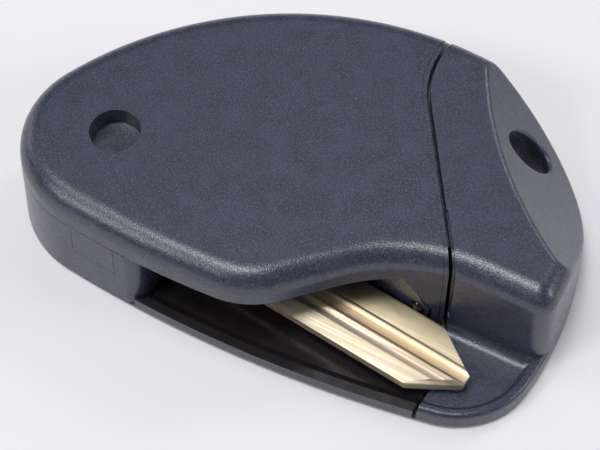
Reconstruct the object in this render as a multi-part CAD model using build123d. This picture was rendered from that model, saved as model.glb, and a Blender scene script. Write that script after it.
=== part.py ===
from build123d import *
import math
import os

# Flip key remote shell. Millimetres and degrees. The origin is on the pivot axis at the rest face,
# +X runs along the blade slot towards the key ring end, +Z is up.

# Case outline at the rest face: three corner circles joined by long arcs
height = 15.0
draft = 4.0
pivot_end = Vector(0.5, 0.7)
pivot_end_radius = 13.7
front_corner = Vector(47.2, 1.15)
front_corner_radius = 10.6
back_corner = Vector(34.0, 12.1)
back_corner_radius = 23.2
front_side_radius = 169.0
right_side_radius = 46.6
back_side_radius = 46.5

# Upper outline where it leaves the case outline: nose over the slot, cut back to the thumb scoop
nose = Vector(20.4, -1.0)
nose_radius = 11.8
nose_side_radius = 120.0
nose_cut_angle = 46.6
scoop_blend_radius = 20.0
scoop_wall_point = Vector(51.0, 2.8)
scoop_wall_angle = 2.0
scoop_end_radius = 3.2

# Shell
parting = 10.6
wall = 1.6
roof = 1.7
plate = 1.3
top_round = 3.0
bottom_round = 0.8
lip_height = 2.2
lip_foot = 2.4
lip_slope = 50.0

# S-shaped seam between the case and the end cap
seam_back = Vector(28.9, 31.1)
seam_bend = 15.0
seam_front = Vector(47.15, -5.27)
seam_gap = 0.5
seam_step_width = 0.62
seam_step_depth = 0.15
seam_notch_width = 0.4
seam_notch_depth = 0.7
seam_notch_end = 1.5
cap_notch_width = 0.25
cap_notch_end = 10.0

# End cap
cap_wall = 1.8
rim_height = 2.9
rim_width = 1.0
rim_round = 0.7
scoop_floor = 2.3
foot_round = 1.5
crease_centre = Vector(85.4, 57.3)
crease_radius = 56.3
facet_round = 1.2
ring_hole = Vector(44.4, 26.1)
ring_hole_radius = 2.8
ring_tube_wall = 1.7
ring_hole_round = 0.4
spigot_reach = 4.0
spigot_clearance = 0.15
spigot_wall = 1.0
spigot_front = 6.5

# Pivot
trunnion_radius = 3.15
trunnion_top = 12.4
trunnion_dish = 0.25
trunnion_clearance = 0.05
cover_boss_wall = 2.0
post_radius = 2.6
post_top = 6.0
post_clearance = 0.05
washer_thickness = 0.4
washer_radius = 5.2
running_gap = 0.05

# Blade
blade_angle = -4.4
blade_width = 9.0
blade_thickness = 1.95
blade_bottom = 3.1
blade_root = 4.6
blade_tip = 51.4
blade_point = 5.9
blade_flat = 1.3
blade_fit = 0.02
groove_width = 1.8
groove_depth = 0.55
trough_width = 0.9
trough_depth = 0.15
trough_centre = -1.75
pin_radius = 0.8
pin_distance = 8.2
pin_top = 8.5

# Blade carrier
carrier_bottom = 0.8
carrier_top = 10.5
carrier_skin = 1.4
carrier_roof = 1.2
carrier_back_radius = 13.45
carrier_hub_radius = 11.1
carrier_boss_radius = 5.4
heel_end = 11.05
heel_round = 2.2
heel_clearance = 0.25
tail_angle = 127.8
socket_wall = 1.4
socket_radius = 13.3

# Chamber for the carrier
chamber_radius = 13.8
chamber_wall = 1.2
groove_inner = 11.4
groove_outer = 13.65
groove_floor = 0.7
wall_start_angle = 127.0

# Chip cover and chip
chip_cover_left = 1.1
chip_cover_width = 6.4
chip_cover_bottom = 5.7
chip_cover_thickness = 1.2
chip_cover_gap = 0.05
chip_size = Vector(5.4, 2.8, 3.0)
chip_centre = Vector(4.3, -9.75, 7.55)
chip_clearance = 0.1

# Detent
detent_place = Vector(-1.3, 7.5)
ball_radius = 1.0
ball_clearance = 0.05
detent_wall = 1.0
spring_radius = 0.7
spring_wire = 0.15
spring_turns = 6
detent_depth = 7.2

# Wall behind the blade, and the stop on it
partition_gap = 0.65
partition_thickness = 1.4
partition_start = 13.9
tab_gap = 0.2
rib_gap = 0.1
tab_low = Vector(43.3, 5.0)
tab_high = Vector(39.5, 10.6)
bumper_x = 41.7
bumper_z = 5.0
bumper_radius = 1.05
bumper_gap = 0.05
bumper_stem_radius = 0.6
bumper_stem = 1.8

# Screws
screw_places = [Vector(5.0, 20.2), Vector(33.0, 8.2), Vector(21.9, 29.4)]
screw_radius = 0.9
screw_head_radius = 1.6
screw_head = 1.1
screw_length = 8.0
screw_recess = 1.0
screw_clearance = 0.2
well_radius = 2.8
well_top = 3.2
boss_radius = 2.3
cap_screw_place = Vector(31.6, 17.6)
cap_screw_head = 0.9
cap_screw_recess = 0.2
cap_screw_length = 4.0
tongue_width = 6.0
tongue_left = 30.0
tongue_height = 3.2
ledge_reach = 1.2
ledge_height = 0.6
ledge_end = 0.0
ledge_clearance = 0.1

# Electronics
board_bottom = 5.0
board_thickness = 1.0
board_clearance = 0.4
board_front = 5.9
board_seam_gap = 4.6
post_places = [Vector(7.2, 24.6), Vector(13.5, 10.5), Vector(31.0, 12.3)]
post_foot_radius = 1.2
cell_centre = Vector(20.0, 16.5)
cell_radius = 10.0
cell_thickness = 3.2
contact_thickness = 0.3
contact_width = 4.0
clip_reach = 5.0
clip_foot = 2.0
chip_side = 4.0
chip_height = 1.0
chip_place = Vector(9.5, 24.3)
resonator_size = Vector(3.2, 2.5, 0.8)
resonator_place = Vector(14.2, 27.5)

# Buttons on the underside
button_places = {"lock": Vector(14.0, 19.5), "unlock": Vector(25.0, 15.0)}
button_length = 11.0
button_width = 7.5
button_clearance = 0.1
button_recess = 0.25
button_flange = 0.8
button_flange_thickness = 0.6
button_travel = 0.4
switch_side = 4.4
switch_height = 1.6
stem_radius = 0.8
stem_clearance = 0.05
stem_in_switch = 0.6

origin = Vector(0, 0)
up = (Align.CENTER, Align.CENTER, Align.MIN)
slope = math.tan(math.radians(draft))
far = 80.0


def direction(angle):
    return Vector(math.cos(math.radians(angle)), math.sin(math.radians(angle)))


def bearing(v):
    return math.degrees(math.atan2(v.Y, v.X))


def right_of(v):
    return Vector(v.Y, -v.X)


def arc_centre(a, a_radius, b, b_radius, radius):
    span = b - a
    ra = radius - a_radius
    rb = radius - b_radius
    x = (ra * ra - rb * rb + span.length**2) / (2 * span.length)
    y = math.sqrt(ra * ra - x * x)
    u = span.normalized()
    return a + u * x - right_of(u) * y


def turn_left(centre, radius, start, end):
    return CenterArc(centre, radius, bearing(start), (bearing(end) - bearing(start)) % 360)


def turn_right(centre, radius, start, end):
    return CenterArc(centre, radius, bearing(start), -((bearing(start) - bearing(end)) % 360))


front_centre = arc_centre(pivot_end, pivot_end_radius, front_corner, front_corner_radius, front_side_radius)
right_centre = arc_centre(front_corner, front_corner_radius, back_corner, back_corner_radius, right_side_radius)
back_centre = arc_centre(back_corner, back_corner_radius, pivot_end, pivot_end_radius, back_side_radius)
nose_centre = arc_centre(pivot_end, pivot_end_radius, nose, nose_radius, nose_side_radius)


def case_plan(inset):
    front = front_side_radius - inset
    corner = front_corner_radius - inset
    right = right_side_radius - inset
    back = back_corner_radius - inset
    side = back_side_radius - inset
    pivot = pivot_end_radius - inset
    return make_face([
        turn_left(front_centre, front, pivot_end - front_centre, front_corner - front_centre),
        turn_left(front_corner, corner, front_corner - front_centre, front_corner - right_centre),
        turn_left(right_centre, right, front_corner - right_centre, back_corner - right_centre),
        turn_left(back_corner, back, back_corner - right_centre, back_corner - back_centre),
        turn_left(back_centre, side, back_corner - back_centre, pivot_end - back_centre),
        turn_left(pivot_end, pivot, pivot_end - back_centre, pivot_end - front_centre),
    ])


def upper_plan(inset):
    cut = direction(nose_cut_angle)
    scoop = direction(scoop_wall_angle)
    cut_start = nose + right_of(cut) * (nose_radius - inset)
    scoop_start = scoop_wall_point - right_of(scoop) * inset
    gap = scoop_start - cut_start
    corner = cut_start + cut * (gap.cross(scoop).Z / cut.cross(scoop).Z)
    blend = scoop_blend_radius + inset
    reach = blend * math.tan(math.radians(nose_cut_angle - scoop_wall_angle) / 2)
    blend_start = corner - cut * reach
    blend_end = corner + scoop * reach
    blend_centre = blend_start + right_of(cut) * blend
    right = right_side_radius - inset
    side = back_side_radius - inset
    back = back_corner_radius - inset
    from_right = scoop_start - right_centre
    along = from_right.dot(scoop)
    end = scoop_start + scoop * (math.sqrt(along**2 - from_right.dot(from_right) + right**2) - along)
    face = make_face([
        turn_left(nose_centre, nose_side_radius - inset, pivot_end - nose_centre, nose - nose_centre),
        turn_left(nose, nose_radius - inset, nose - nose_centre, right_of(cut)),
        Line(cut_start, blend_start),
        turn_right(blend_centre, blend, blend_start - blend_centre, blend_end - blend_centre),
        Line(blend_end, end),
        turn_left(right_centre, right, end - right_centre, back_corner - right_centre),
        turn_left(back_corner, back, back_corner - right_centre, back_corner - back_centre),
        turn_left(back_centre, side, back_corner - back_centre, pivot_end - back_centre),
        turn_left(pivot_end, pivot_end_radius - inset, pivot_end - back_centre, pivot_end - nose_centre),
    ])
    return fillet(face.vertices().sort_by_distance(end)[0], scoop_end_radius - inset)


def drafted(plan, inset, bottom, top):
    return Pos(0, 0, bottom) * extrude(plan(inset + bottom * slope), top - bottom, taper=draft)


def upper_body(inset, bottom, top_inset):
    body = drafted(upper_plan, inset, bottom, height - top_inset)
    return fillet(body.edges().group_by(Axis.Z)[-1], max(top_round - inset, 0.4))


def prism(face, bottom, top):
    return Pos(0, 0, bottom) * extrude(face, top - bottom)


def block(x0, x1, y0, y1, z0, z1):
    return Pos(x0, y0, z0) * Box(x1 - x0, y1 - y0, z1 - z0, align=Align.MIN)


def disc(place, radius, bottom, top):
    return Pos(place.X, place.Y, bottom) * Cylinder(radius, top - bottom, align=up)


def polygon(points):
    return make_face(Polyline(points, close=True))


# Everything on the left (side -1) or right (side 1) of the seam, moved right by shift; spread opens its front end
def seam_side(shift, side, spread=0):
    back = Vector(seam_back.X + seam_bend, seam_back.Y)
    front = Vector(seam_front.X - seam_bend + spread, seam_front.Y)
    span = back - front
    angle = bearing(span) - math.degrees(math.acos(2 * seam_bend / span.length))
    back_arc = CenterArc(back, seam_bend - shift, 180, angle)
    front_arc = CenterArc(front, seam_bend + shift, angle, -angle)
    start = Vector(back_arc @ 0).X
    end = Vector(front_arc @ 1).X
    edges = [
        Line((start, far), back_arc @ 0),
        back_arc,
        Line(back_arc @ 1, front_arc @ 0),
        front_arc,
        Line(front_arc @ 1, (end, -far)),
        Line((end, -far), (side * far, -far)),
        Line((side * far, -far), (side * far, far)),
        Line((side * far, far), (start, far)),
    ]
    return prism(make_face(edges), -1, height + 1)


left_of_seam = seam_side(0, -1)
right_of_seam = seam_side(seam_gap, 1)
seam_strip = seam_side(-seam_step_width, 1) & left_of_seam
seam_notch = seam_side(-seam_step_width, 1) & seam_side(seam_notch_width - seam_step_width, -1)
seam_notch &= block(-far, far, -far, seam_notch_end, 0, height + 1)
cap_notch = right_of_seam & seam_side(seam_gap, -1, cap_notch_width)
cap_notch &= block(-far, far, -far, cap_notch_end, rim_height + foot_round, height + 1)
blade_turn = Rot(0, 0, blade_angle)
blade_top = blade_bottom + blade_thickness


def blade_back(x):
    return blade_width / 2 / math.cos(math.radians(blade_angle)) + x * math.tan(math.radians(blade_angle))


# Cut that keeps the cover's wall tab and the wall behind the blade apart, moved along X by shift
def tab_window(shift):
    face = Plane.XZ * polygon([
        (-far, -1),
        (tab_low.X + shift, -1),
        (tab_low.X + shift, tab_low.Y),
        (tab_high.X + shift, tab_high.Y),
        (tab_high.X + shift, height + 1),
        (-far, height + 1),
    ])
    return extrude(face, far, both=True)


# Top cover
outer = upper_body(0, 1.0, 0)
step_cut = seam_strip - upper_body(seam_step_depth, 1.0, seam_step_depth)
step_cut += seam_notch - upper_body(seam_notch_depth, 1.0, seam_notch_depth)
above_parting = block(-far, far, -far, far, parting, height + 1)
room = upper_body(wall, plate, roof)
shell = (outer - room) & left_of_seam
cover_tab = (shell & block(tab_high.X, far, -far, spigot_front - 1, plate + 0.15, parting)) - tab_window(0)
hole_radius = trunnion_radius + trunnion_clearance
top_cover = (shell & above_parting) + cover_tab
top_cover += disc(origin, hole_radius + cover_boss_wall, parting, height - roof)
chamber_ring = disc(origin, chamber_radius + chamber_wall, 0, height) - disc(origin, chamber_radius, 0, height)
wall_start = direction(wall_start_angle) * 30
chamber_zone = polygon([origin, wall_start, (30, 30), (30, 5.0), (13, 5.0)])
face_start = Vector(partition_start, blade_back(partition_start) + partition_gap)
face_end = Vector(tab_low.X, blade_back(tab_low.X) + partition_gap)
thickness = Vector(0, partition_thickness)
partition_zone = polygon([face_start, face_end, face_end + thickness, face_start + thickness])
ribs = chamber_ring & prism(chamber_zone, parting + rib_gap, height - roof)
ribs += prism(partition_zone, parting + rib_gap, height - roof)
top_cover += ribs & upper_body(wall / 2, plate, roof / 2) & left_of_seam
for place in screw_places:
    top_cover += disc(place, boss_radius, well_top, height - roof)
    top_cover -= disc(place, screw_radius, 0, height - roof - 1)
top_cover -= disc(origin, hole_radius, 0, height + 1)
top_cover -= step_cut

# Bottom shell: floor, tray lip, back wall, chamber wall, wall behind the blade
floor_body = drafted(case_plan, 0, 0, lip_height)
floor_body = fillet(floor_body.edges().group_by(Axis.Z)[0], bottom_round)
tray = Pos(0, 0, plate) * extrude(case_plan(lip_foot), lip_height - plate + 0.01, taper=-lip_slope)
carrier_zone = polygon([
    origin,
    direction(wall_start_angle) * far,
    (-far, 0),
    (-far, -far),
    (heel_end + heel_clearance, -far),
    (heel_end + heel_clearance, 0),
])
back_zone = polygon([origin, direction(wall_start_angle) * far, (far, far), (far, 0)])
heel_front = front_centre.Y - math.sqrt(front_side_radius**2 - (heel_end - front_centre.X)**2)
heel_reach = Vector(heel_end - heel_round, heel_front + heel_round).length + heel_round
low_floor = prism(carrier_zone, groove_floor, height) & disc(origin, heel_reach + heel_clearance, 0, height)
low_floor -= disc(origin, groove_inner, 0, height)
groove = disc(origin, groove_outer, groove_floor, height) - disc(origin, groove_inner, 0, height)
back_wall = drafted(case_plan, 0, 1.0, parting) - drafted(case_plan, wall, 1.0, parting)
back_wall &= prism(back_zone, 0, parting)
chamber = disc(origin, chamber_radius + chamber_wall, plate, parting) & prism(chamber_zone, 0, parting)
chamber &= drafted(case_plan, 0.5, plate, parting)
partition = prism(partition_zone, plate, parting)
bottom_shell = floor_body - tray + back_wall + chamber - disc(origin, chamber_radius, plate, height)
bottom_shell += (partition & tab_window(-tab_gap)) - disc(origin, chamber_radius, plate, height)
bottom_shell = bottom_shell - low_floor - groove
bottom_shell += disc(origin, post_radius, 0.5, post_top)
for place in screw_places:
    bottom_shell += disc(place, well_radius, 0.5, well_top)
    bottom_shell -= disc(place, screw_head_radius + screw_clearance, -1, screw_recess + screw_head)
    bottom_shell -= disc(place, screw_radius + screw_clearance, 0, height)
for place in post_places:
    bottom_shell += disc(place, post_foot_radius, 0.5, board_bottom)
for place in button_places.values():
    hole = SlotOverall(button_length + 2 * button_clearance, button_width + 2 * button_clearance)
    bottom_shell -= Pos(place.X, place.Y, -1) * Rot(0, 0, 90) * extrude(hole, height)
cap_screw_cone = Cone(screw_head_radius + 0.1, screw_radius + 0.1, cap_screw_head, align=up)
bottom_shell -= Pos(cap_screw_place.X, cap_screw_place.Y, cap_screw_recess) * cap_screw_cone
bottom_shell -= disc(cap_screw_place, screw_head_radius + 0.1, -1, cap_screw_recess)
bottom_shell -= disc(cap_screw_place, screw_radius + 0.1, 0, plate + 1)
ledge_top = ledge_height + ledge_clearance
ledge_room = block(-far, far, -far, ledge_end + ledge_clearance, -1, ledge_top)
bottom_shell -= ledge_room & seam_side(-ledge_reach - ledge_clearance, 1)
bottom_shell = bottom_shell & left_of_seam

# Stop for the blade
bumper_face = blade_back(bumper_x) + bumper_gap
bumper_place = Pos(bumper_x, bumper_face + bumper_radius, bumper_z)
blade_bumper = Sphere(bumper_radius) + Rot(-90, 0, 0) * Cylinder(bumper_stem_radius, bumper_stem, align=up)
blade_bumper = bumper_place * blade_bumper
bottom_shell -= blade_bumper

# End cap


def facet_cone(offset):
    low = crease_radius - height + offset
    return Pos(crease_centre.X, crease_centre.Y, 0) * Cone(low, low + height + 1, height + 1, align=up)


cap_floor = drafted(case_plan, 0, 0, rim_height)
cap_floor = fillet(cap_floor.edges().group_by(Axis.Z)[0], bottom_round)
cap_floor = fillet(cap_floor.edges().group_by(Axis.Z)[-1], rim_round)
dish = Pos(0, 0, scoop_floor) * extrude(
    case_plan(rim_width + rim_height - scoop_floor + rim_height * slope), rim_height - scoop_floor + 0.01, taper=-45
)
cap_outer = (outer + (cap_floor - dish)) & right_of_seam


def scoop_foot(edge):
    low = abs((edge @ 0).Z - scoop_floor) < 0.01 and abs((edge @ 1).Z - scoop_floor) < 0.01
    return low and abs((edge @ 0.5).Y - scoop_wall_point.Y) < foot_round / 2


cap_outer = fillet(cap_outer.edges().filter_by(scoop_foot), foot_round)
cap_outer -= facet_cone(0)
facet_side = (ring_hole - crease_centre).normalized() * (crease_radius - height / 2)
facet_face = cap_outer.faces().sort_by_distance(crease_centre + facet_side + Vector(0, 0, height / 2))[0]
facet_edges = [edge for edge in facet_face.edges() if (edge @ 0.5).X > seam_back.X + 2]
cap_outer = fillet(ShapeList(facet_edges), facet_round)
cap_outer -= cap_notch - upper_body(seam_notch_depth, 1.0, seam_notch_depth)
cap_room = upper_body(cap_wall, plate + 0.2, cap_wall) - facet_cone(cap_wall * math.sqrt(2))
end_cap = cap_outer - cap_room
end_cap += disc(ring_hole, ring_hole_radius + ring_tube_wall, plate, height) & cap_outer
end_cap -= disc(ring_hole, ring_hole_radius, -1, height + 1)


def hole_rim(edge):
    middle = edge @ 0.5
    return abs((Vector(middle.X, middle.Y) - ring_hole).length - ring_hole_radius) < 0.01 and middle.Z > plate


end_cap = fillet(end_cap.edges().filter_by(hole_rim).sort_by(Axis.Z)[-1], ring_hole_round)
spigot_inset = wall + spigot_clearance
spigot_bottom = lip_height + spigot_clearance
spigot_top = roof + spigot_clearance
spigot = upper_body(spigot_inset, spigot_bottom, spigot_top)
spigot -= upper_body(spigot_inset + spigot_wall, spigot_bottom + spigot_wall, spigot_top + spigot_wall)
spigot &= seam_side(-spigot_reach, 1) & seam_side(seam_gap + cap_wall, -1)
spigot &= block(0, far, spigot_front, far, 0, height)
tongue = block(
    tongue_left,
    far,
    cap_screw_place.Y - tongue_width / 2,
    cap_screw_place.Y + tongue_width / 2,
    plate + spigot_clearance,
    plate + spigot_clearance + tongue_height,
)
tongue &= seam_side(seam_gap + 2 * cap_wall, -1)
for place in screw_places:
    spigot -= disc(place, well_radius + spigot_clearance, 0, height)
end_cap += spigot
end_cap += tongue
ledge = block(-far, far, -far, ledge_end, 0, ledge_height) & cap_floor
end_cap += ledge & seam_side(-ledge_reach, 1) & seam_side(seam_gap + cap_wall, -1)
end_cap -= disc(cap_screw_place, screw_radius, 0, plate + spigot_clearance + tongue_height)

# Blade carrier
skin_zone = polygon([
    origin,
    direction(tail_angle) * far,
    (-far, 0),
    (-far, -far),
    (heel_end, -far),
    (heel_end, 0),
])
inner_zone = polygon([
    right_of(direction(tail_angle)) * -carrier_skin,
    right_of(direction(tail_angle)) * -carrier_skin + direction(tail_angle) * far,
    (-far, 0),
    (-far, -far),
    (heel_end - carrier_skin, -far),
    (heel_end - carrier_skin, 0),
])


def turning_limit(radius):
    return disc(origin, radius, 0, height) + block(-far, far, -far, 1, 0, height)


blade_pocket_height = blade_thickness + 2 * blade_fit
hub_bottom = plate + washer_thickness + running_gap
skin = drafted(case_plan, 0, carrier_bottom, carrier_top) & prism(skin_zone, 0, height)
skin = fillet(skin.edges().filter_by_position(Axis.X, heel_end - 0.1, heel_end + 0.1).sort_by(Axis.Y)[0], heel_round)
skin &= turning_limit(carrier_back_radius)
skin -= disc(origin, groove_inner + 0.1, 0, hub_bottom)
inside = drafted(case_plan, carrier_skin, 0, carrier_top - carrier_roof) & prism(inner_zone, -1, height)
inside &= turning_limit(carrier_back_radius - carrier_skin)
inside += disc(origin, carrier_hub_radius - carrier_skin, 0, carrier_top - carrier_roof)
socket_half = blade_width / 2 + socket_wall
socket = blade_turn * block(0, far, -socket_half, socket_half, hub_bottom, carrier_top - 0.5)
socket &= disc(origin, socket_radius, 0, height)
chip_low = chip_centre - chip_size / 2
chip_high = chip_centre + chip_size / 2
chip_walls = block(
    chip_low.X - carrier_roof,
    chip_high.X + carrier_roof,
    -far,
    chip_high.Y + carrier_roof,
    chip_low.Z - carrier_roof,
    height,
)
keep = disc(origin, carrier_boss_radius, hub_bottom, height) + socket + chip_walls
keep += disc(detent_place, ball_radius + detent_wall, hub_bottom, height)
body = skin + disc(origin, carrier_hub_radius, hub_bottom, carrier_top)
body = body - (inside - keep) + socket
body += disc(origin, trunnion_radius, carrier_top - 1, trunnion_top)
dish_radius = (trunnion_radius**2 + trunnion_dish**2) / (2 * trunnion_dish)
body -= Pos(0, 0, trunnion_top - trunnion_dish + dish_radius) * Sphere(dish_radius)
body -= disc(origin, post_radius + post_clearance, 0, post_top + 0.1)
pocket_half = blade_width / 2 + blade_fit
pocket_low = blade_bottom - blade_fit
body -= blade_turn * block(blade_root - blade_fit, far, -pocket_half, pocket_half, pocket_low, blade_top + blade_fit)
pin_place = direction(blade_angle) * pin_distance
body -= disc(pin_place, pin_radius, 0, pin_top)
body -= disc(detent_place, ball_radius + ball_clearance, 0, detent_depth)
chip_box = block(
    chip_low.X - chip_clearance,
    chip_high.X + chip_clearance,
    -far,
    chip_high.Y + chip_clearance,
    chip_low.Z - chip_clearance,
    chip_high.Z + chip_clearance,
)
body -= chip_box & drafted(case_plan, chip_cover_thickness, 0, height)
chip_cover_right = chip_cover_left + chip_cover_width
notch = block(chip_cover_left, chip_cover_right, -far, 0, chip_cover_bottom, height)
notch -= drafted(case_plan, chip_cover_thickness, 0, height)
blade_carrier = body - notch
chip_cover = block(
    chip_cover_left + chip_cover_gap,
    chip_cover_right - chip_cover_gap,
    -far,
    0,
    chip_cover_bottom + chip_cover_gap,
    carrier_top,
)
chip_cover = (chip_cover & drafted(case_plan, 0, 0, height)) - drafted(case_plan, chip_cover_thickness, 0, height)
transponder_chip = Pos(chip_centre) * Box(chip_size.X, chip_size.Y, chip_size.Z)

# Blade, drawn along X and then turned
half_width = blade_width / 2
point_start = blade_tip - blade_point
blank = polygon([
    (blade_root, -half_width),
    (point_start, -half_width),
    (blade_tip, -blade_flat / 2),
    (blade_tip, blade_flat / 2),
    (point_start, half_width),
    (blade_root, half_width),
])
blank = prism(blank, blade_bottom, blade_top)
groove_start = socket_radius + 1
grooves = block(groove_start, far, -groove_width / 2, groove_width / 2, blade_top - groove_depth, height)
grooves += block(
    groove_start,
    far,
    trough_centre - trough_width / 2,
    trough_centre + trough_width / 2,
    blade_top - trough_depth,
    height,
)
middle = blade_bottom + blade_thickness / 2
under_grooves = Pos(0, 0, middle) * Rot(180, 0, 0) * Pos(0, 0, -middle) * grooves
blank = blank - grooves - under_grooves
blank -= disc(Vector(pin_distance, 0), pin_radius, 0, height)
key_blade = blade_turn * blank
blade_pin = disc(pin_place, pin_radius, hub_bottom + 0.1, pin_top)

# Detent and washer
ball_bottom = plate + running_gap
detent_ball = Pos(detent_place.X, detent_place.Y, ball_bottom + ball_radius) * Sphere(ball_radius)
spring_bottom = ball_bottom + 2 * ball_radius + spring_wire
spring_height = detent_depth - spring_bottom - spring_wire
spring_path = Helix(spring_height / spring_turns, spring_height, spring_radius)
spring_face = (Plane(spring_path @ 0, z_dir=spring_path % 0)) * Circle(spring_wire)
detent_spring = Pos(detent_place.X, detent_place.Y, spring_bottom) * sweep(spring_face, path=spring_path)
thrust_washer = disc(origin, washer_radius, plate, plate + washer_thickness)
thrust_washer -= disc(origin, post_radius + post_clearance, 0, height)

# Screws
casing_screws = []
for place in screw_places:
    screw = disc(place, screw_head_radius, screw_recess, screw_recess + screw_head)
    screw += disc(place, screw_radius, screw_recess, screw_recess + screw_head + screw_length)
    slot = Box(2 * screw_head_radius, 0.4, 0.6) + Box(0.4, 2 * screw_head_radius, 0.6)
    screw -= Pos(place.X, place.Y, screw_recess) * (slot & Cylinder(1.2, 1))
    casing_screws.append(screw)
casing_screws = Compound(casing_screws)
cap_screw = Pos(cap_screw_place.X, cap_screw_place.Y, cap_screw_recess) * Cone(
    screw_head_radius, screw_radius, cap_screw_head, align=up
)
cap_screw += disc(cap_screw_place, screw_radius, cap_screw_recess + 0.5, cap_screw_recess + cap_screw_length)
cap_screw -= Pos(cap_screw_place.X, cap_screw_place.Y, cap_screw_recess) * (
    Box(2 * screw_head_radius, 0.4, 0.6) + Box(0.4, 2 * screw_head_radius, 0.6)
) & Pos(cap_screw_place.X, cap_screw_place.Y, 0) * Cylinder(1.2, 5)

# Electronics
board_top = board_bottom + board_thickness
board_wall = wall + board_clearance
board = drafted(case_plan, board_wall, board_bottom, board_top) & seam_side(-board_seam_gap, -1)
board &= block(-far, far, board_front, far, 0, height)
board -= disc(origin, chamber_radius + chamber_wall + board_clearance, 0, height)
for place in screw_places:
    board -= disc(place, boss_radius + board_clearance, 0, height)
circuit_board = board.solids().sort_by(SortBy.VOLUME)[-1]
cell_bottom = board_top + contact_thickness
cell_top = cell_bottom + cell_thickness
coin_cell = disc(cell_centre, cell_radius, cell_bottom, cell_top)
coin_cell -= disc(cell_centre, cell_radius, cell_bottom, cell_bottom + 0.3) - disc(
    cell_centre, cell_radius - 1.2, cell_bottom, cell_bottom + 0.3
)
cell_plate = disc(cell_centre, contact_width, board_top, cell_bottom)
clip_x = cell_centre.X - cell_radius - contact_thickness
clip_y0 = cell_centre.Y - contact_width / 2
clip_y1 = cell_centre.Y + contact_width / 2
clip_top = cell_top + contact_thickness
cell_clip = block(clip_x - contact_thickness, clip_x, clip_y0, clip_y1, board_top, clip_top)
cell_clip += block(clip_x - clip_foot, clip_x, clip_y0, clip_y1, board_top, board_top + contact_thickness)
cell_clip += block(clip_x - contact_thickness, clip_x + clip_reach, clip_y0, clip_y1, cell_top, clip_top)
controller_chip = Pos(chip_place.X, chip_place.Y, board_top + chip_height / 2) * Box(
    chip_side, chip_side, chip_height
)
resonator = Pos(resonator_place.X, resonator_place.Y, board_top + resonator_size.Z / 2) * Box(
    resonator_size.X, resonator_size.Y, resonator_size.Z
)

# Buttons, their stems and the switches
buttons = {}
switch_bottom = board_bottom - switch_height
flange_bottom = plate + running_gap
flange_top = flange_bottom + button_flange_thickness
for name, place in button_places.items():
    turned = Pos(place.X, place.Y, 0) * Rot(0, 0, 90)
    cap = extrude(SlotOverall(button_length, button_width), flange_bottom - button_recess)
    cap = fillet(cap.edges().group_by(Axis.Z)[0], 0.4)
    wide = SlotOverall(button_length + 2 * button_flange, button_width + 2 * button_flange)
    cap = Pos(0, 0, button_recess) * cap + Pos(0, 0, flange_bottom) * extrude(wide, button_flange_thickness)
    buttons[name + "_button"] = turned * cap
    buttons[name + "_plunger"] = disc(place, stem_radius, flange_top, switch_bottom + stem_in_switch)
    switch = Pos(place.X, place.Y, switch_bottom + switch_height / 2) * Box(switch_side, switch_side, switch_height)
    switch_hole = disc(place, stem_radius + stem_clearance, 0, switch_bottom + stem_in_switch + button_travel + 0.1)
    buttons[name + "_switch"] = switch - switch_hole

nodes = {
    "top_cover": top_cover,
    "bottom_shell": bottom_shell,
    "end_cap": end_cap,
    "blade_carrier": blade_carrier,
    "chip_cover": chip_cover,
    "transponder_chip": transponder_chip,
    "key_blade": key_blade,
    "blade_pin": blade_pin,
    "blade_bumper": blade_bumper,
    "thrust_washer": thrust_washer,
    "detent_ball": detent_ball,
    "detent_spring": detent_spring,
    "casing_screws": casing_screws,
    "cap_screw": cap_screw,
    "circuit_board": circuit_board,
    "coin_cell": coin_cell,
    "cell_plate": cell_plate,
    "cell_clip": cell_clip,
    "controller_chip": controller_chip,
    "resonator": resonator,
    **buttons,
}
os.makedirs("parts", exist_ok=True)
for name, shape in nodes.items():
    print(name, len(shape.solids()), shape.is_valid, round(shape.volume, 1))
    export_step(shape, f"parts/{name}.step")
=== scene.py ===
import bpy
import math
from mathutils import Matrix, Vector


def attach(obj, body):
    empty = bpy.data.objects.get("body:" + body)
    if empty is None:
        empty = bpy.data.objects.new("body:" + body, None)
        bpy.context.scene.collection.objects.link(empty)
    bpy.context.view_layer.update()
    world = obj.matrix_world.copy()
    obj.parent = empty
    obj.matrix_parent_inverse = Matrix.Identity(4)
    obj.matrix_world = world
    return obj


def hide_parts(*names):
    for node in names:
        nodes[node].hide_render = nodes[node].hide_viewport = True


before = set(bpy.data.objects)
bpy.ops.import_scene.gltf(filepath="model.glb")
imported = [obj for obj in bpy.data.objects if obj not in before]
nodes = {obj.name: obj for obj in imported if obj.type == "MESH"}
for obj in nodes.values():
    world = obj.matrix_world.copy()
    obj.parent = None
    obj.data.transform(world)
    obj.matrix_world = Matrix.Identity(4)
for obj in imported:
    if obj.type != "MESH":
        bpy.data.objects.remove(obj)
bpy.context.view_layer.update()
print("frame loaded")


# Colours are written as sRGB 0-255 and turned into the linear values that shaders take

def linear(rgb):
    shares = [c / 255 for c in rgb]
    return tuple(v / 12.92 if v <= 0.04045 else ((v + 0.055) / 1.055) ** 2.4 for v in shares) + (1.0,)


# Camera, floor and light

studio = {
    "azimuth": 30.0,
    "elevation": 57.0,
    "target": (0.02369, 0.00444, 0.006),
    "distance": 0.1875,
    "lens": 90.0,
    "nearest": 0.01,
    "floorSize": 3.0,
    "floorColour": (243, 242, 244),
    "floorRoughness": 0.9,
    "floorShine": 0.1,
    "worldColour": (240, 243, 255),
    "worldStrength": 0.14,
    "boxReach": 1.2,
    "boxEdge": 0.36,
}

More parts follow.
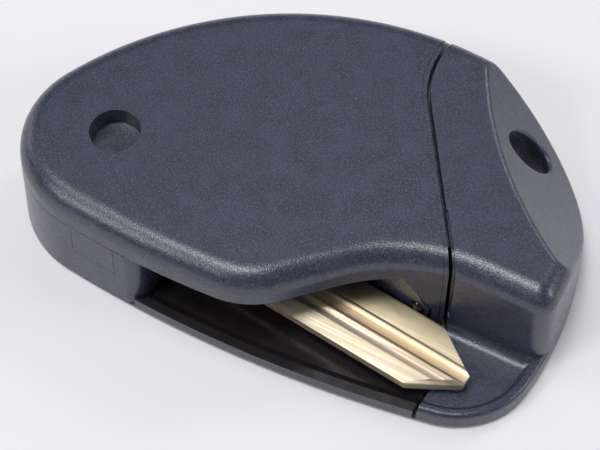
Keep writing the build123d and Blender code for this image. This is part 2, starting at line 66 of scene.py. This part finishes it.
# Soft boxes, all alike: direction from the object, watts, colour
softboxes = {
    "overhead": ((-0.1, -0.17, 0.98), 6.4, (255, 254, 255)),
    "overheadLeft": ((-0.45, -0.05, 0.88), 1.3, (255, 254, 255)),
    "left": ((-0.95, 0.05, 0.3), 1.0, (255, 254, 255)),
    "front": ((-0.4, -0.6, 0.6), 3.3, (255, 254, 255)),
    "right": ((0.8, 0.28, 0.45), 2.6, (255, 255, 255)),
    "back": ((0.2, 0.8, 0.6), 2.0, (250, 250, 255)),
    "mirrored": ((-0.27, 0.47, 0.84), 0.5, (240, 245, 255)),
}


def addCamera():
    azimuth = math.radians(studio["azimuth"])
    elevation = math.radians(studio["elevation"])
    back = Vector((
        math.sin(azimuth) * math.cos(elevation),
        -math.cos(azimuth) * math.cos(elevation),
        math.sin(elevation),
    ))
    camera = bpy.data.objects.new("camera", bpy.data.cameras.new("camera"))
    bpy.context.scene.collection.objects.link(camera)
    camera.data.sensor_width = 36.0
    camera.data.lens = studio["lens"]
    camera.data.clip_start = studio["nearest"]
    camera.location = Vector(studio["target"]) + back * studio["distance"]
    camera.rotation_mode = "QUATERNION"
    camera.rotation_quaternion = (-back).to_track_quat("-Z", "Y")
    bpy.context.scene.camera = camera


def addSoftbox(name, toward, power, colour):
    lamp = bpy.data.objects.new(name, bpy.data.lights.new(name, "AREA"))
    bpy.context.scene.collection.objects.link(lamp)
    lamp.data.shape = "SQUARE"
    lamp.data.size = studio["boxEdge"]
    lamp.data.energy = power
    lamp.data.color = linear(colour)[:3]
    away = Vector(toward).normalized()
    lamp.location = Vector(studio["target"]) + away * studio["boxReach"]
    lamp.rotation_mode = "QUATERNION"
    lamp.rotation_quaternion = away.to_track_quat("Z", "Y")


def addStudio():
    bpy.ops.mesh.primitive_plane_add(size=studio["floorSize"], location=(0, 0, 0))
    floor = bpy.context.object
    floor.name = "floor"
    paper = bpy.data.materials.new("paleCard")
    paper.use_nodes = True
    shader = paper.node_tree.nodes["Principled BSDF"]
    shader.inputs["Base Color"].default_value = linear(studio["floorColour"])
    shader.inputs["Roughness"].default_value = studio["floorRoughness"]
    shader.inputs["Specular IOR Level"].default_value = studio["floorShine"]
    floor.data.materials.append(paper)
    world = bpy.data.worlds.new("studioWorld")
    world.use_nodes = True
    glow = world.node_tree.nodes["Background"]
    glow.inputs["Color"].default_value = linear(studio["worldColour"])
    glow.inputs["Strength"].default_value = studio["worldStrength"]
    bpy.context.scene.world = world
    for name, box in softboxes.items():
        addSoftbox(name, *box)


bpy.ops.object.select_all(action="DESELECT")
bpy.context.scene.view_settings.view_transform = "Standard"
addCamera()
addStudio()
print("camera, floor and soft boxes placed")


# Finishes

class FinishSheet:
    def __init__(self, name):
        self.material = bpy.data.materials.new(name)
        self.material.use_nodes = True
        self.tree = self.material.node_tree
        self.shader = self.tree.nodes["Principled BSDF"]
        self.place = self.tree.nodes.new("ShaderNodeTexCoord")

    def add(self, kind):
        return self.tree.nodes.new(kind)

    def link(self, start, end):
        self.tree.links.new(start, end)

    def noise(self, scale, detail, stretch=None, turn=0.0):
        texture = self.add("ShaderNodeTexNoise")
        texture.inputs["Scale"].default_value = scale
        texture.inputs["Detail"].default_value = detail
        if stretch:
            mapping = self.add("ShaderNodeMapping")
            mapping.inputs["Rotation"].default_value = (0.0, 0.0, math.radians(turn))
            mapping.inputs["Scale"].default_value = stretch
            self.link(self.place.outputs["Object"], mapping.inputs["Vector"])
            self.link(mapping.outputs["Vector"], texture.inputs["Vector"])
        else:
            self.link(self.place.outputs["Object"], texture.inputs["Vector"])
        return texture.outputs["Fac"]

    def remap(self, value, fromLow, fromHigh, toLow, toHigh):
        remap = self.add("ShaderNodeMapRange")
        remap.inputs["From Min"].default_value = fromLow
        remap.inputs["From Max"].default_value = fromHigh
        remap.inputs["To Min"].default_value = toLow
        remap.inputs["To Max"].default_value = toHigh
        self.link(value, remap.inputs["Value"])
        return remap.outputs["Result"]

    def mix(self, factor, first, second):
        mix = self.add("ShaderNodeMix")
        mix.data_type = "RGBA"
        self.link(factor, mix.inputs["Factor"])
        for socket, colour in (("A", first), ("B", second)):
            slot = [s for s in mix.inputs if s.name == socket and s.type == "RGBA"][0]
            if isinstance(colour, tuple):
                slot.default_value = linear(colour)
            else:
                self.link(colour, slot)
        return [s for s in mix.outputs if s.type == "RGBA"][0]

    def bump(self, height, depth, strength):
        bump = self.add("ShaderNodeBump")
        bump.inputs["Distance"].default_value = depth
        if isinstance(strength, float):
            bump.inputs["Strength"].default_value = strength
        else:
            self.link(strength, bump.inputs["Strength"])
        self.link(height, bump.inputs["Height"])
        self.link(bump.outputs["Normal"], self.shader.inputs["Normal"])

    def paint(self, colour):
        self.link(colour, self.shader.inputs["Base Color"])

    def gloss(self, pattern, span):
        self.link(self.remap(pattern, 0.3, 0.7, *span), self.shader.inputs["Roughness"])

    def upward(self, low, high):
        split = self.add("ShaderNodeSeparateXYZ")
        self.link(self.place.outputs["Normal"], split.inputs["Vector"])
        return self.remap(split.outputs["Z"], low, high, 0.0, 1.0)


# Spark-eroded grain: strong on top, faint on the drafted sides. The drafted sides are also painted a lighter,
# greyer colour than the top, painted light from the bright floor. A span gives where a pattern starts to show,
# where it shows in full, and how far it is mixed in

caseGrainAndSideLight = {
    "topColour": (45, 48, 63),
    "sideColourPaintedFloorLight": (50, 51, 62),
    "fleckColour": (78, 83, 106),
    "topSpan": (0.25, 0.8),
    "fleckScale": 3800.0,
    "fleckSpan": (0.5, 0.66, 0.8),
    "cloudScale": 420.0,
    "cloudSpan": (0.35, 0.7, 0.25),
    "grainScale": 6800.0,
    "grainDepth": 0.00005,
    "topGrain": 0.65,
    "sideGrain": 0.06,
    "roughness": (0.23, 0.36),
    "reflection": 1.67,
}


def makeCaseGrain(name, look):
    sheet = FinishSheet(name)
    grain = sheet.noise(look["grainScale"], 1.0)
    spots = sheet.noise(look["fleckScale"], 2.0)
    cloud = sheet.noise(look["cloudScale"], 2.0)
    top = sheet.upward(*look["topSpan"])
    # Painted light: faces turned sideways take the lighter, greyer side colour, standing for the floor's bounced
    # light
    base = sheet.mix(top, look["sideColourPaintedFloorLight"], look["topColour"])
    for pattern, (start, full, most) in ((spots, look["fleckSpan"]), (cloud, look["cloudSpan"])):
        base = sheet.mix(sheet.remap(pattern, start, full, 0.0, most), base, look["fleckColour"])
    sheet.paint(base)
    sheet.gloss(grain, look["roughness"])
    sheet.shader.inputs["IOR"].default_value = look["reflection"]
    sheet.bump(grain, look["grainDepth"], sheet.remap(top, 0.0, 1.0, look["sideGrain"], look["topGrain"]))
    return sheet.material


# Polished mould faces inside the slot, shinier than the grained outside; their darker, warmer colour is painted
# shade of the slot

slotPlasticPaintedShade = {
    "colour": (41, 37, 39),
    "shade": (31, 28, 31),
    "roughness": (0.16, 0.28),
    "cloudScale": 600.0,
    "cloudSpan": (0.35, 0.65),
    "rippleScale": 1800.0,
    "rippleDepth": 0.00003,
    "rippleStrength": 0.1,
}


def makeSlotPlastic(name, look):
    sheet = FinishSheet(name)
    cloud = sheet.noise(look["cloudScale"], 3.0)
    clouds = sheet.remap(cloud, *look["cloudSpan"], 0.0, 1.0)
    sheet.paint(sheet.mix(clouds, look["colour"], look["shade"]))
    sheet.gloss(cloud, look["roughness"])
    sheet.bump(sheet.noise(look["rippleScale"], 2.0), look["rippleDepth"], look["rippleStrength"])
    return sheet.material


# Satin brass with fine scratches along the blade: milled front, groove and brushed back. The groove's copy is
# lighter and more orange, a painted reflection;
# the back's copy is darker and greyer, painted shade, with stronger brushing scratches

bladeBrass = {
    "bright": (208, 196, 176),
    "shade": (203, 187, 158),
    "roughness": (0.42, 0.6),
    "scratchScale": 900.0,
    "scratchStretch": (0.03, 3.0, 3.0),
    "scratchDepth": 0.00002,
    "scratchStrength": 0.25,
    "cloudScale": 500.0,
    "cloudStretch": (0.4, 1.0, 1.0),
    "cloudSpan": (0.35, 0.7),
    "turn": 4.4,
}
# Copies of the brass: the groove's is a painted reflection, the back flat's is painted shade with real brushing
grooveBrassPaintedReflection = dict(bladeBrass, bright=(247, 222, 185), shade=(232, 204, 163))
brushedBrassPaintedShade = dict(bladeBrass, bright=(202, 191, 161), shade=(180, 167, 136), scratchStrength=0.6)


def makeBladeBrass(name, look):
    sheet = FinishSheet(name)
    scratch = sheet.noise(look["scratchScale"], 3.0, look["scratchStretch"], look["turn"])
    cloud = sheet.noise(look["cloudScale"], 2.0, look["cloudStretch"], look["turn"])
    clouds = sheet.remap(cloud, *look["cloudSpan"], 0.0, 1.0)
    sheet.paint(sheet.mix(clouds, look["bright"], look["shade"]))
    sheet.shader.inputs["Metallic"].default_value = 1.0
    sheet.gloss(scratch, look["roughness"])
    sheet.bump(scratch, look["scratchDepth"], look["scratchStrength"])
    return sheet.material


# The small parts: colour, second colour, metallic, roughness range, pattern scale, bump

smallFinishes = {
    "glossRubber": ((18, 18, 19), (26, 26, 27), 0.0, (0.1, 0.2), 900.0, 0.05),
    "buttonRubber": ((48, 48, 50), (58, 58, 61), 0.0, (0.55, 0.7), 3800.0, 0.3),
    "zincSteel": ((196, 197, 194), (172, 174, 173), 1.0, (0.22, 0.4), 1500.0, 0.1),
    "cellSteel": ((214, 213, 208), (196, 195, 190), 1.0, (0.18, 0.34), 700.0, 0.05),
    "springContact": ((214, 186, 118), (196, 166, 98), 1.0, (0.22, 0.36), 900.0, 0.08),
    "washerNylon": ((226, 223, 212), (214, 210, 198), 0.0, (0.35, 0.5), 1200.0, 0.08),
    "boardLacquer": ((18, 92, 48), (12, 76, 38), 0.0, (0.2, 0.32), 500.0, 0.06),
    "chipResin": ((26, 26, 27), (34, 34, 35), 0.0, (0.45, 0.6), 3000.0, 0.2),
}


smallPattern = {
    "span": (0.35, 0.65),
    "depth": 0.00004,
}


def makeSmallFinish(name):
    first, second, metallic, roughness, scale, strength = smallFinishes[name]
    sheet = FinishSheet(name)
    pattern = sheet.noise(scale, 3.0)
    sheet.paint(sheet.mix(sheet.remap(pattern, *smallPattern["span"], 0.0, 1.0), first, second))
    sheet.shader.inputs["Metallic"].default_value = metallic
    sheet.gloss(pattern, roughness)
    sheet.bump(pattern, smallPattern["depth"], strength)
    return sheet.material


finishes = {name: makeSmallFinish(name) for name in smallFinishes}
finishes["caseGrainAndSideLight"] = makeCaseGrain("caseGrainAndSideLight", caseGrainAndSideLight)
finishes["slotPlasticPaintedShade"] = makeSlotPlastic("slotPlasticPaintedShade", slotPlasticPaintedShade)
for name, look in (("bladeBrass", bladeBrass), ("grooveBrassPaintedReflection", grooveBrassPaintedReflection), ("brushedBrassPaintedShade", brushedBrassPaintedShade)):
    finishes[name] = makeBladeBrass(name, look)

nodeFinish = {
    "top_cover": "caseGrainAndSideLight",
    "bottom_shell": "caseGrainAndSideLight",
    "end_cap": "caseGrainAndSideLight",
    "blade_carrier": "caseGrainAndSideLight",
    "chip_cover": "caseGrainAndSideLight",
    "transponder_chip": "chipResin",
    "key_blade": "bladeBrass",
    "blade_pin": "zincSteel",
    "blade_bumper": "glossRubber",
    "thrust_washer": "washerNylon",
    "detent_ball": "zincSteel",
    "detent_spring": "zincSteel",
    "casing_screws": "zincSteel",
    "cap_screw": "zincSteel",
    "circuit_board": "boardLacquer",
    "coin_cell": "cellSteel",
    "cell_plate": "springContact",
    "cell_clip": "springContact",
    "controller_chip": "chipResin",
    "resonator": "cellSteel",
    "lock_button": "buttonRubber",
    "unlock_button": "buttonRubber",
    "lock_plunger": "chipResin",
    "unlock_plunger": "chipResin",
    "lock_switch": "cellSteel",
    "unlock_switch": "cellSteel",
}

for name, node in nodes.items():
    node.data.materials.clear()
    node.data.materials.append(finishes[nodeFinish[name]])
print("finishes assigned")


# Editing by place

def startEdit(piece):
    bpy.ops.object.select_all(action="DESELECT")
    piece.select_set(True)
    bpy.context.view_layer.objects.active = piece
    bpy.ops.object.mode_set(mode="EDIT")
    bpy.ops.mesh.select_all(action="SELECT")


def endEdit():
    bpy.ops.object.mode_set(mode="OBJECT")


def pick(piece, kind, test):
    bpy.ops.mesh.select_mode(type=kind)
    bpy.ops.mesh.select_all(action="DESELECT")
    bpy.ops.object.mode_set(mode="OBJECT")
    if kind == "VERT":
        for vertex in piece.data.vertices:
            vertex.select = test(vertex.co)
    if kind == "FACE":
        for face in piece.data.polygons:
            face.select = test(face.center, face.normal)
    bpy.ops.object.mode_set(mode="EDIT")


# The moulded pieces: a welded copy of each node, so that its curves shade smoothly

welding = {
    "reach": 0.000002,
    "smoothAngle": 28.0,
}

moulded = {
    "caseCover": ("top_cover", "casing", "case_plastic"),
    "caseShell": ("bottom_shell", "casing", "case_plastic"),
    "ringEnd": ("end_cap", "casing", "case_plastic"),
    "turningBlock": ("blade_carrier", "blade", "case_plastic"),
    "chipPanel": ("chip_cover", "blade", "case_plastic"),
    "stopDome": ("blade_bumper", "casing", "black_rubber"),
}


# Each corner takes the mean normal of the faces round it that bend less than the angle, large faces first
def smoothCorners(mesh, angle):
    around = [[] for vertex in mesh.vertices]
    for face in mesh.polygons:
        for vertex in face.vertices:
            around[vertex].append((face.normal.copy(), face.area))
    limit = math.cos(angle)
    normals = []
    for face in mesh.polygons:
        for vertex in face.vertices:
            mean = Vector()
            for normal, area in around[vertex]:
                if normal.dot(face.normal) > limit:
                    mean += normal * area
            normals.append(mean.normalized() if mean.length > 0 else face.normal.copy())
    mesh.normals_split_custom_set(normals)


def makeMoulded(name, node, body, slot):
    piece = nodes[node].copy()
    piece.data = nodes[node].data.copy()
    piece.name = name
    bpy.context.scene.collection.objects.link(piece)
    piece.parent = None
    startEdit(piece)
    bpy.ops.mesh.remove_doubles(threshold=welding["reach"])
    endEdit()
    bpy.ops.object.shade_smooth()
    smoothCorners(piece.data, math.radians(welding["smoothAngle"]))
    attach(piece, body)
    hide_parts(node)
    return piece


pieces = {name: makeMoulded(name, *place) for name, place in moulded.items()}
print("moulded pieces welded")


# The blade, cut from a bar lying along X: the profile gives the height of the upper face from its
# front edge to its back edge, and both faces are milled alike

blade = {
    "turn": -4.4,
    "root": 0.0046,
    "tip": 0.0514,
    "pointStart": 0.0455,
    "halfWidth": 0.0045,
    "halfFlat": 0.00065,
    "bottom": 0.0031,
    "top": 0.00505,
    "profile": (
        (-0.00450, 0.00466),
        (-0.00250, 0.00497),
        (-0.00220, 0.00494),
        (-0.00175, 0.00490),
        (-0.00135, 0.00494),
        (-0.00105, 0.00503),
        (-0.00085, 0.00500),
        (-0.00065, 0.00477),
        (-0.00045, 0.00467),
        (0.00040, 0.00465),
        (0.00062, 0.00475),
        (0.00085, 0.00496),
        (0.00100, 0.00505),
        (0.00114, 0.00503),
        (0.00130, 0.00492),
        (0.00145, 0.00500),
        (0.00420, 0.00503),
        (0.00450, 0.00495),
    ),
    "frontChamfer": 0.0006,
    "groove": (-0.0008, 0.0008),
    "backFlat": 0.00135,
    "pinPlace": 0.0082,
    "pinRadius": 0.0008,
    "pinSides": 32,
    "drillDepth": 0.01,
    "tipFrom": 0.0470,
    "tipBack": 0.0024,
    "tipLine": ((0.04807, 0.00120), (0.05098, -0.00017)),
    "tipSteps": (-0.00012, 0.0, 0.00045),
    "tipHeights": (None, 0.0048, 0.005),
    "tipDrop": 0.0047,
    "sloping": 0.3,
    "level": 0.9,
    "near": 0.00002,
    "cutReach": 0.000001,
    "smoothAngle": 38.0,
}


def cutAcross(place, normal, outer=False, fill=False):
    bpy.ops.mesh.bisect(
        plane_co=place, plane_no=normal, clear_outer=outer, use_fill=fill, threshold=blade["cutReach"]
    )


def makeBlade(name, look):
    middle = (look["bottom"] + look["top"]) / 2
    length = look["tip"] - look["root"]
    bpy.ops.mesh.primitive_cube_add(size=1.0, location=(look["root"] + length / 2, 0.0, middle))
    piece = bpy.context.object
    piece.name = name
    piece.scale = (length, 2 * look["halfWidth"], look["top"] - look["bottom"])
    bpy.ops.object.transform_apply(location=True, rotation=True, scale=True)
    profile = dict(look["profile"])
    startEdit(piece)
    for y in profile:
        if abs(y) < look["halfWidth"] - look["near"]:
            bpy.ops.mesh.select_all(action="SELECT")
            cutAcross((0.0, y, 0.0), (0.0, 1.0, 0.0))
    for y, z in profile.items():
        for side in (1, -1):
            pick(piece, "VERT", lambda co: abs(co.y - y) < look["near"] and (co.z - middle) * side > 0)
            bpy.ops.transform.translate(value=(0.0, 0.0, (z - look["top"]) * side))
    for side in (-1, 1):
        bpy.ops.mesh.select_all(action="SELECT")
        rise, run = look["halfWidth"] - look["halfFlat"], look["tip"] - look["pointStart"]
        slant = Vector((rise, side * run, 0.0)).normalized()
        corner = Vector((look["pointStart"], side * look["halfWidth"], 0.0))
        cutAcross(corner, slant, True, True)
        if side < 0:
            chamfer = (slant + Vector((0.0, 0.0, 1.0))).normalized()
            bpy.ops.mesh.select_all(action="SELECT")
            edge = corner + Vector((0.0, 0.0, look["top"] - look["frontChamfer"]))
            cutAcross(edge, chamfer, True, True)
    shapeTip(piece, look, middle)
    endEdit()
    drill(piece, Vector((look["pinPlace"], 0.0, middle)), look)
    piece.data.materials.clear()
    for finish in ("bladeBrass", "grooveBrassPaintedReflection", "brushedBrassPaintedShade"):
        piece.data.materials.append(finishes[finish])
    # Groove faces take the painted-reflection copy of the brass, the back flat the painted-shade copy
    for face in piece.data.polygons:
        if abs(face.normal.z) > look["sloping"] and look["groove"][0] < face.center.y < look["groove"][1]:
            face.material_index = 1
        elif abs(face.normal.z) > look["level"] and face.center.y > look["backFlat"]:
            face.material_index = 2
    bpy.ops.transform.rotate(  # turns the other way round without a window
        value=math.radians(-look["turn"]), orient_axis="Z", orient_type="GLOBAL", center_override=(0.0, 0.0, 0.0)
    )
    bpy.ops.object.transform_apply(location=True, rotation=True, scale=True)
    bpy.ops.object.shade_smooth_by_angle(angle=math.radians(look["smoothAngle"]))
    return piece


# The facet ground at the tip, behind the groove's end
def shapeTip(piece, look, middle):
    start, end = (Vector((*place, 0.0)) for place in look["tipLine"])
    along = (end - start).normalized()
    across = Vector((-along.y, along.x, 0.0))
    onTip = lambda c: c.x > look["tipFrom"] and c.y < look["tipBack"] and c.z > middle
    for step in look["tipSteps"]:
        pick(piece, "FACE", lambda c, n: onTip(c) and n.z > look["sloping"])
        cutAcross(start + across * step, across)
    for step, height in zip(look["tipSteps"], look["tipHeights"]):
        if height:
            place = start + across * step
            onLine = lambda co: onTip(co) and abs((co - place).dot(across)) < look["near"]
            pick(piece, "VERT", onLine)
            bpy.ops.transform.resize(value=(1.0, 1.0, 0.0), center_override=(0.0, 0.0, height))
    edge = start + across * look["tipSteps"][-1]
    pick(piece, "VERT", lambda co: onTip(co) and (co - edge).dot(across) > look["near"])
    bpy.ops.transform.resize(value=(1.0, 1.0, 0.0), center_override=(0.0, 0.0, look["tipDrop"]))


def drill(piece, place, look):
    bpy.ops.mesh.primitive_cylinder_add(
        vertices=look["pinSides"], radius=look["pinRadius"], depth=look["drillDepth"], location=place
    )
    bit = bpy.context.object
    cut = piece.modifiers.new("pinHole", "BOOLEAN")
    cut.operation = "DIFFERENCE"
    cut.object = bit
    bpy.ops.object.select_all(action="DESELECT")
    piece.select_set(True)
    bpy.context.view_layer.objects.active = piece
    bpy.ops.object.modifier_apply(modifier="pinHole")
    bpy.data.objects.remove(bit)


milledBlade = makeBlade("milledBlade", blade)
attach(milledBlade, "blade")
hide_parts("key_blade")
print("blade cut", [round(v * 1000, 2) for v in milledBlade.dimensions])


# Polished faces of the slot, the tray's floor and the underside of the cover, also painted darker as the slot's
# shade

slotZone = {
    "trayLow": 0.0012,
    "trayHigh": 0.00221,
    "trayFacing": 0.3,
    "roofFacing": -0.5,
}


def polishAndPaintShade(piece, test):
    piece.data.materials.append(finishes["slotPlasticPaintedShade"])
    for face in piece.data.polygons:
        if test(face.center, face.normal):
            face.material_index = 1


onTray = lambda c, n: n.z > slotZone["trayFacing"] and slotZone["trayLow"] < c.z < slotZone["trayHigh"]
polishAndPaintShade(pieces["caseShell"], onTray)
polishAndPaintShade(pieces["caseCover"], lambda c, n: n.z < slotZone["roofFacing"])
print("slot faces polished")
